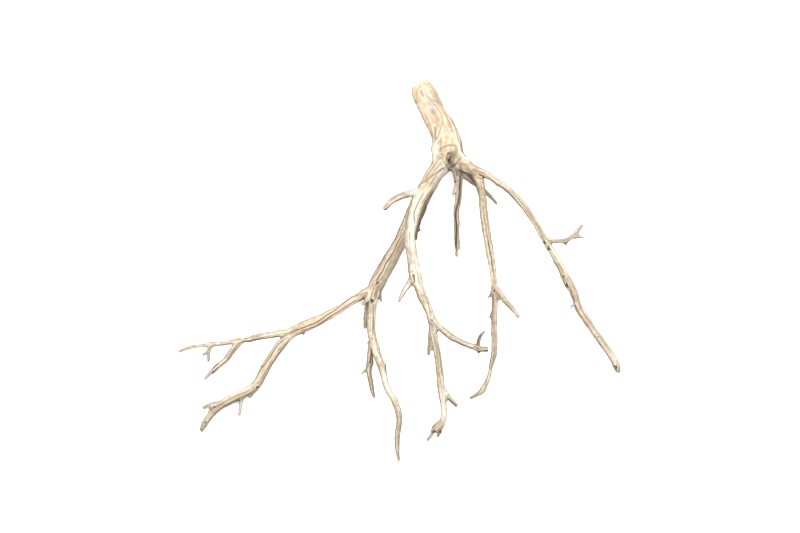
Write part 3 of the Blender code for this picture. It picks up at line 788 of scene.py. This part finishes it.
for limb_name, x, y, spread, swell, hole, depth in ((limb, *knot) for limb in KNOTS for knot in KNOTS[limb]):
    route = limbs[limb_name].route
    aside = np.linalg.norm(route[:, :2] - np.array((x, y)) * MM, axis=1)
    nearest = aside.argmin()
    rise = math.sqrt(max(route[nearest, 3] ** 2 - aside[nearest] ** 2, 0))
    centre = np.array((x * MM, y * MM, route[nearest, 2] + rise))
    away = np.linalg.norm(points - centre, axis=1)
    swelling = np.exp(-((away / (spread * MM)) ** 2))
    offset = points[:, :2] - centre[:2]
    run_way = limbs[limb_name].ahead[nearest, :2] / np.linalg.norm(limbs[limb_name].ahead[nearest, :2])
    along = offset @ run_way / HOLE_STRETCH
    across = offset @ np.array((-run_way[1], run_way[0]))
    ragged = 1 + HOLE_RAGGEDNESS * np.sin(3 * np.arctan2(across, along) + x)
    inside = np.hypot(along, across) * ragged / (max(hole, 0.1) * MM)
    pit = np.clip(1 - inside**2, 0, 1) * upward * (away < spread * HOLE_REACH * MM)
    lift += swelling * swell * MM - pit * depth * MM
    grain[:, 2] += swelling * KNOT_TWIST
    marks["hole"] = np.maximum(marks["hole"], pit)
    marks["stain"] = np.maximum(marks["stain"], swelling * KNOT_STAIN)

for limb_name in ("bark remnant", "bark spur"):
    near, weight = belongs[limb_name]
    low_down = np.clip((BARK_TOP - points[near, 1]) / BARK_FADE, 0, 1)
    bark = np.clip(weight / share_sum[near] * BARK_RISE, 0, 1) * low_down
    marks["bark"][near] = np.maximum(marks["bark"][near], bark)

near, weight = belongs["trunk"]
stretch, share, _ = nearest_on(limbs["trunk"].route, points[near])
run = between(limbs["trunk"].run, stretch, share)
outside = np.linalg.norm(points[near, :2] - SAWN_CENTRE, axis=1) - SAWN_RADIUS
near, outside = near[run < SAWN_REACH], outside[run < SAWN_REACH]
marks["sawn"][near] = np.clip(outside / MM, 0, 1)
marks["rim"][near] = np.exp(-((outside / RIM_WIDTH) ** 2))
lift[near] -= marks["sawn"][near] * SAWN_DEPTH


def store(mesh, name, values):
    kind = "FLOAT" if values.ndim == 1 else "FLOAT_VECTOR"
    field = "value" if values.ndim == 1 else "vector"
    mesh.attributes.new(name, kind, "POINT").data.foreach_set(field, values.astype(np.float32).ravel())


# Painted shade: the wood's colour darkens where a limb's side turns under, most on its lower right,
# away from the key lamp, and on thick limbs, whose sides the bright floor would otherwise light.
EDGE_WIDTH = 2.0 * MM
EDGE_SOFTNESS = 0.6
SHADE_WAY = np.array((0.2, -0.98))
LEAST_EDGE, MOST_EDGE = 0.82, 1.25
THIN_LIMB, THICK_LIMB = 7 * MM, 14 * MM
inset = np.clip(1 - EDGE_WIDTH / np.maximum(tone["girth"], EDGE_WIDTH * 1.1), 0, 1)
turning = np.sqrt(1 - inset**2)
shaded_side = np.clip(0.8 + 0.5 * (normals[:, :2] @ SHADE_WAY), LEAST_EDGE, MOST_EDGE)
shaded_side = np.maximum(shaded_side, np.interp(tone["girth"], (THIN_LIMB, THICK_LIMB), (0.7, 1.1)))
flank_shade = np.clip((turning - normals[:, 2]) / (turning * EDGE_SOFTNESS), 0, 1) * shaded_side
for name, values in {**tone, **marks, "grain": grain, "lift": lift, "flank_shade": flank_shade}.items():
    store(branch.data, name, values)

# The weathered surface
# The wood dried and split in the open and was then blasted with sand, which rounds every edge.
# That leaves broad flutes, furrows and fibres along the grain, low lumps and a slight wander.
MOST_TRIANGLES = 192000
GROOVE_PASSES = 5
CROOK_PASSES = 45
LEVEL_PASSES = 12


def attribute(tree, name, kind="FLOAT"):
    made = tree.nodes.new("GeometryNodeInputNamedAttribute")
    made.data_type = kind
    made.inputs["Name"].default_value = name
    return made.outputs["Attribute"]


def vectors(tree, operation, first, second):
    """A vector sum, and the second value of a scaling is the factor."""
    made = tree.nodes.new("ShaderNodeVectorMath")
    made.operation = operation
    plug(tree, made.inputs[0], first)
    plug(tree, made.inputs["Scale" if operation == "SCALE" else 1], second)
    return made.outputs[0]


def noise(tree, place, size, **values):
    """Noise whose cells are about this size, from the place given."""
    scale = maths(tree, "DIVIDE", 1.0, size)
    return node(tree, "ShaderNodeTexNoise", Vector=place, Scale=scale, **values)


def weathering_tree():
    """Moves a welded branch's surface along its grain: flutes, furrows, marks and wander."""
    sizes = (
        "Flute Width", "Flute Depth", "Furrow Width", "Furrow Depth", "Fibre Width", "Fibre Depth",
        "Lump Width", "Lump Height", "Wander", "Wander Length",
    )
    inputs = [("Geometry", "Geometry"), *((size, "Float", MM) for size in sizes), ("Wood", "Material")]
    tree, given = new_tree("GeometryNodeTree", "weathering", inputs, ("Geometry", "Geometry"))
    place = attribute(tree, "grain", "FLOAT_VECTOR")
    girth = attribute(tree, "girth")
    where = tree.nodes.new("GeometryNodeInputPosition").outputs[0]
    normal = tree.nodes.new("GeometryNodeInputNormal").outputs[0]

    flutes = noise(tree, place, given["Flute Width"], Detail=1.0, Distortion=0.3).outputs["Fac"]
    flute = maths(tree, "MULTIPLY", maths(tree, "SUBTRACT", flutes, 0.5), given["Flute Depth"])
    flute = maths(tree, "MULTIPLY", flute, maths(tree, "POWER", girth, 0.4))
    furrows = noise(tree, place, given["Furrow Width"], Detail=2.0, Distortion=0.5).outputs["Fac"]
    ridge = maths(tree, "ABSOLUTE", maths(tree, "SUBTRACT", furrows, 0.5))
    furrow = maths(tree, "SUBTRACT", 1.0, maths(tree, "MULTIPLY", ridge, 9.0), clamp=True)
    slender = maths(tree, "POWER", maths(tree, "DIVIDE", given["Furrow Width"], girth), 0.6, clamp=True)
    furrow_cut = maths(tree, "MULTIPLY", maths(tree, "MULTIPLY", furrow, slender), given["Furrow Depth"])
    fibres = noise(tree, place, given["Fibre Width"], Detail=1.0).outputs["Fac"]
    fibre = maths(tree, "MULTIPLY", maths(tree, "SUBTRACT", fibres, 0.5), given["Fibre Depth"])
    lumps = noise(tree, where, given["Lump Width"], Detail=1.0).outputs["Fac"]
    lump = maths(tree, "MULTIPLY", maths(tree, "SUBTRACT", lumps, 0.5), given["Lump Height"])
    fine = maths(tree, "ADD", fibre, attribute(tree, "lift"))
    height = maths(tree, "ADD", maths(tree, "ADD", flute, lump), fine)
    height = maths(tree, "SUBTRACT", height, furrow_cut)
    wandering = noise(tree, where, given["Wander Length"], Detail=1.0).outputs["Color"]
    sway = vectors(tree, "SCALE", vectors(tree, "SUBTRACT", wandering, (0.5, 0.5, 0.5)), given["Wander"])
    total = vectors(tree, "ADD", vectors(tree, "SCALE", normal, height), sway)

    moved = node(tree, "GeometryNodeSetPosition", Geometry=given["Geometry"], Offset=total)
    rise = tree.nodes.new("GeometryNodeInputPosition").outputs[0]
    level = vectors(tree, "MAXIMUM", rise, (-10, -10, 0))
    rested = node(tree, "GeometryNodeSetPosition", Geometry=moved.outputs[0], Position=level)
    real = node(tree, "GeometryNodeRealizeInstances", Geometry=rested.outputs[0])
    dressed = node(tree, "GeometryNodeSetMaterial", Geometry=real.outputs[0], Material=given["Wood"])
    node(tree, "NodeGroupOutput", Geometry=dressed.outputs[0])
    return tree


def thinned(obj, most):
    """The object's mesh as triangles, merged where it is flattest until this many are left."""
    thin = obj.modifiers.new("thin", "DECIMATE")
    thin.ratio = most / sum(len(face.vertices) - 2 for face in obj.data.polygons)
    thin.use_collapse_triangulate = True
    return applied(obj)


def hollows(mesh):
    """How deep each point lies in a furrow, and how deep in a fork, in metres."""
    places = places_of(mesh)
    out = np.array([vertex.normal for vertex in mesh.vertices])
    ends, others = edge_ends(mesh)
    near = eased(places, ends, others, GROOVE_PASSES)
    far = eased(near, ends, others, CROOK_PASSES)
    fine = ((near - places) * out).sum(1)
    fine -= eased(fine[:, None], ends, others, LEVEL_PASSES)[:, 0]
    return fine, ((far - places) * out).sum(1)


branch.data = run_nodes(
    branch, weathering_tree(), "weathering",
    Flute_Width=9 * MM, Flute_Depth=0.022, Furrow_Width=7 * MM, Furrow_Depth=0.5 * MM,
    Fibre_Width=2.6 * MM, Fibre_Depth=0.5 * MM, Lump_Width=8 * MM, Lump_Height=1.3 * MM,
    Wander=3.0 * MM, Wander_Length=26 * MM, Wood=wood,
)
branch.data = thinned(branch, MOST_TRIANGLES)
branch.data.shade_smooth()
groove, crook = hollows(branch.data)
store(branch.data, "groove", groove / MM)
store(branch.data, "crook", crook / MM)

# The finish
# Bare blasted wood, dry and unoiled, with one strip of old bark left: cream where it is hard and
# proud, tan in the soft furrows, umber in the cracks, grey at the weathered tips, and ochre on the
# saw cut. Painted shade darkens the furrows, forks, notches and turned-under sides, and painted
# highlight lightens the proud ridges.


def grain_line_group():
    """Thin lines that follow the grain: the level lines of a stretched noise."""
    shares = (("Scale", 100), ("Rings", 3), ("Width", 0.2), ("Wander", 0.5))
    inputs = [("Vector", "Vector"), *((name, "Float", value) for name, value in shares)]
    group, given = new_tree("ShaderNodeTree", "grain lines", inputs, ("Lines", "Float"))
    base = node(
        group, "ShaderNodeTexNoise", Vector=given["Vector"], Scale=given["Scale"], Detail=2.0,
        Roughness=0.55, Distortion=given["Wander"],
    )
    wave = maths(group, "PINGPONG", maths(group, "MULTIPLY", base.outputs["Fac"], given["Rings"]), 0.5)
    line = maths(group, "SUBTRACT", 1.0, maths(group, "DIVIDE", wave, given["Width"]), clamp=True)
    node(group, "NodeGroupOutput", Lines=line)
    return group


def patch_group():
    """Soft patches drawn out along the grain, from none to full."""
    inputs = [("Vector", "Vector"), ("Scale", "Float", 60), ("Least", "Float", 0.45), ("Most", "Float", 0.6)]
    group, given = new_tree("ShaderNodeTree", "patches", inputs, ("Patches", "Float"))
    base = node(group, "ShaderNodeTexNoise", Vector=given["Vector"], Scale=given["Scale"], Detail=3.0)
    spread = node(
        group, "ShaderNodeMapRange", Value=base.outputs["Fac"],
        From_Min=given["Least"], From_Max=given["Most"],
    )
    node(group, "NodeGroupOutput", Patches=spread.outputs[0])
    return group


def read(tree, name, output="Fac"):
    made = tree.nodes.new("ShaderNodeAttribute")
    made.attribute_name = name
    return made.outputs[output]


def ranged(tree, value, least, most):
    """From 0 to 1 as the value goes from least to most."""
    return node(tree, "ShaderNodeMapRange", Value=value, From_Min=least, From_Max=most).outputs[0]


def tinted(tree, colour, amount, tint):
    made = tree.nodes.new("ShaderNodeMix")
    made.data_type = "RGBA"
    for name, value in (("Factor_Float", amount), ("A_Color", colour), ("B_Color", tint)):
        plug(tree, next(socket for socket in made.inputs if socket.identifier == name), value)
    return next(socket for socket in made.outputs if socket.identifier == "Result_Color")


PALE = (0.42, 0.398, 0.34, 1)
CREAM = (0.395, 0.362, 0.292, 1)
TAN = (0.325, 0.25, 0.162, 1)
OCHRE = (0.36, 0.265, 0.12, 1)
BROWN = (0.155, 0.112, 0.066, 1)
EDGE_SHADE = (0.085, 0.057, 0.032, 1)
UMBER = (0.06, 0.034, 0.017, 1)
RUST = (0.37, 0.245, 0.14, 1)
HOLE_BLACK = (0.017, 0.011, 0.009, 1)
ASH = (0.247, 0.217, 0.191, 1)
SAWN = (0.34, 0.292, 0.175, 1)


def finish_wood():
    """Tints the bare wood, one layer over the other, and gives it a dry fibrous surface."""
    wood.use_nodes = True
    tree = wood.node_tree
    shader = tree.nodes["Principled BSDF"]
    lines_group, patches_group = grain_line_group(), patch_group()
    place = read(tree, "grain", "Vector")
    spots = tree.nodes.new("ShaderNodeTexCoord").outputs["Object"]
    layers = [CREAM]

    def patches(scale, least, most, vector=place):
        made = node(
            tree, "ShaderNodeGroup", patches_group, Vector=vector, Scale=scale, Least=least, Most=most,
        )
        return made.outputs[0]

    def lines(scale, rings, width, wander):
        made = node(
            tree, "ShaderNodeGroup", lines_group, Vector=place, Scale=scale, Rings=rings, Width=width,
            Wander=wander,
        )
        return made.outputs[0]

    def product(first, *others):
        """Shares multiplied, never over one. A name stands for the stored mask of that name."""
        total = read(tree, first) if isinstance(first, str) else first
        for other in others:
            total = maths(tree, "MULTIPLY", total, other, clamp=True)
        return total

    def raised(share, extra):
        return maths(tree, "ADD", product(share), extra)

    def lay(tint, *shares):
        """Lays a tint over the colour so far, as strong as the product of the shares."""
        layers.append(tinted(tree, layers[-1], product(*shares), tint))

    lay(TAN, raised("tan", 0.12), raised(patches(105.0, 0.36, 0.64), 0.35), 1.2)
    lay(OCHRE, patches(80.0, 0.52, 0.66), 0.5)
    lay(OCHRE, "ochre", 0.7)
    lay(TAN, patches(260.0, 0.5, 0.62), 0.5)
    lay(BROWN, patches(240.0, 0.55, 0.66), 0.6)
    lay(PALE, patches(24.0, 0.44, 0.58, spots), 0.85)
    lay(BROWN, patches(31.0, 0.5, 0.64, spots), 0.6)
    lay(TAN, "stain", 0.7)
    lay(RUST, "rust", 0.6)
    lay(ASH, "ash", 0.75)
    streaky = raised(product(patches(240.0, 0.36, 0.6), 0.6), 0.4)
    lay(BROWN, "dark", 1.3, streaky)
    lay(PALE, "pale", 0.85)

    slender = ranged(tree, read(tree, "girth"), 0.017, 0.006)
    bare = maths(tree, "SUBTRACT", 1.0, product("pale", 0.7))
    lined = product(bare, raised(product(slender, 0.6), 0.4))
    fine = product(lines(150.0, 5.0, 0.16, 0.6), patches(60.0, 0.42, 0.62))
    lay(BROWN, fine, lined)
    lay(BROWN, lines(95.0, 4.5, 0.2, 0.4), patches(70.0, 0.4, 0.58), slender, lined, 0.85)
    lay(BROWN, lines(420.0, 4.0, 0.3, 0.5), patches(150.0, 0.35, 0.6), lined, 0.35)

    lay(ASH, raised("grey", product("tip", 0.7)), 0.9)
    lay(BROWN, "tip", patches(180.0, 0.4, 0.6))
    lay(SAWN, "sawn")
    lay(RUST, "sawn", patches(200.0, 0.45, 0.6), 0.6)
    lay(BROWN, "rim", 0.75)

    # Painted shade deep in the furrows, where the soft wood is also a little darker, and painted highlight on
    # the proud ridges; then painted shade deep in the forks.
    groove = read(tree, "groove")
    lay(BROWN, ranged(tree, groove, 0.03, 0.2), lined, 0.85)
    lay(CREAM, ranged(tree, groove, -0.02, -0.2), 0.5)
    lay(BROWN, ranged(tree, read(tree, "crook"), 0.2, 2.0), 0.7)
    # Dark grain from the "vein" and "line" marks; the "shade" marks, and the two wide "vein" marks by the
    # crotch notch and under the front limb, are painted shade.
    lay(BROWN, "vein", 0.55)
    lay(BROWN, "line", 0.85)
    lay(BROWN, "shade", 0.9)
    speckle = raised(product(patches(420.0, 0.4, 0.6), 0.35), 0.65)
    lay(UMBER, maths(tree, "POWER", read(tree, "pit"), 0.6), speckle)
    lay(UMBER, "bark", speckle)
    # Painted shade: darker brown where the limbs' sides turn down, strongest on their lower right.
    lay(EDGE_SHADE, "flank_shade", raised(product(streaky, 0.3), 0.7))
    lay(UMBER, maths(tree, "POWER", read(tree, "crack"), 0.7))
    # Near black down in the knot holes.
    lay(HOLE_BLACK, "hole")
    tree.links.new(layers[-1], shader.inputs["Base Color"])

    fibre = node(tree, "ShaderNodeTexNoise", Vector=place, Scale=520.0, Detail=4.0, Roughness=0.65)
    rough = node(tree, "ShaderNodeMapRange", Value=fibre.outputs["Fac"], To_Min=0.62, To_Max=0.9)
    tree.links.new(rough.outputs[0], shader.inputs["Roughness"])
    shader.inputs["Specular IOR Level"].default_value = 0.3
    height = maths(tree, "SUBTRACT", maths(tree, "MULTIPLY", fibre.outputs["Fac"], 0.6), fine)
    bump = tree.nodes.new("ShaderNodeBump")
    bump.inputs["Strength"].default_value = 0.55
    bump.inputs["Distance"].default_value = 0.5 * MM
    tree.links.new(height, bump.inputs["Height"])
    tree.links.new(bump.outputs[0], shader.inputs["Normal"])


finish_wood()

# The part's origin is under the middle of the branch.
from_above = places_of(branch.data)[:, :2]
middle_x, middle_y = (from_above.max(0) + from_above.min(0)) / 2
for vertex in branch.data.vertices:
    vertex.co.x -= middle_x
    vertex.co.y -= middle_y
branch.name = "weathered_branch"
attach(branch, "root")
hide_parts("driftwood")

# The floor, the lamps and the camera
# A plain white table under two big soft lamps and even daylight.
# The camera looks straight down on it, as the photo does.
CAMERA_HEIGHT = 2.5
FRAME_WIDTH = 1.117
SENSOR = 36.0
AIM = (0.0003, 0.005)
FLOOR_SIZE = 12.0


def white_floor():
    bpy.ops.mesh.primitive_plane_add(size=FLOOR_SIZE)
    floor = bpy.context.object
    floor.name = "floor"
    paint = bpy.data.materials.new("white floor")
    paint.use_nodes = True
    shader = paint.node_tree.nodes["Principled BSDF"]
    shader.inputs["Base Color"].default_value = (0.93, 0.93, 0.94, 1)
    shader.inputs["Roughness"].default_value = 0.9
    shader.inputs["Specular IOR Level"].default_value = 0.1
    floor.data.materials.append(paint)
    floor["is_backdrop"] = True


def soft_lamp(name, place, size, power, tint):
    light = bpy.data.lights.new(name, "AREA")
    light.shape = "SQUARE"
    light.size = size
    light.energy = power
    light.color = tint
    lamp = bpy.data.objects.new(name, light)
    lamp.location = place
    lamp.rotation_euler = (-Vector(place)).to_track_quat("-Z", "Y").to_euler()
    bpy.context.scene.collection.objects.link(lamp)


def daylight(strength):
    world = bpy.data.worlds.new("daylight")
    world.use_nodes = True
    sky = world.node_tree.nodes["Background"]
    sky.inputs["Color"].default_value = (1, 1, 1, 1)
    sky.inputs["Strength"].default_value = strength
    bpy.context.scene.world = world


white_floor()
soft_lamp("key", (-0.5, 1.4, 2.4), 2.4, 205, (1, 0.99, 0.97))
soft_lamp("fill", (1.6, -0.3, 2.4), 2.2, 66, (0.97, 0.98, 1))
daylight(0.78)
lens = bpy.data.cameras.new("camera")
lens.sensor_width = SENSOR
lens.lens = SENSOR * CAMERA_HEIGHT / FRAME_WIDTH
camera = bpy.data.objects.new("camera", lens)
camera.location = (*AIM, CAMERA_HEIGHT)
bpy.context.scene.collection.objects.link(camera)
bpy.context.scene.camera = camera
bpy.context.scene.view_settings.view_transform = "Standard"

low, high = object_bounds()
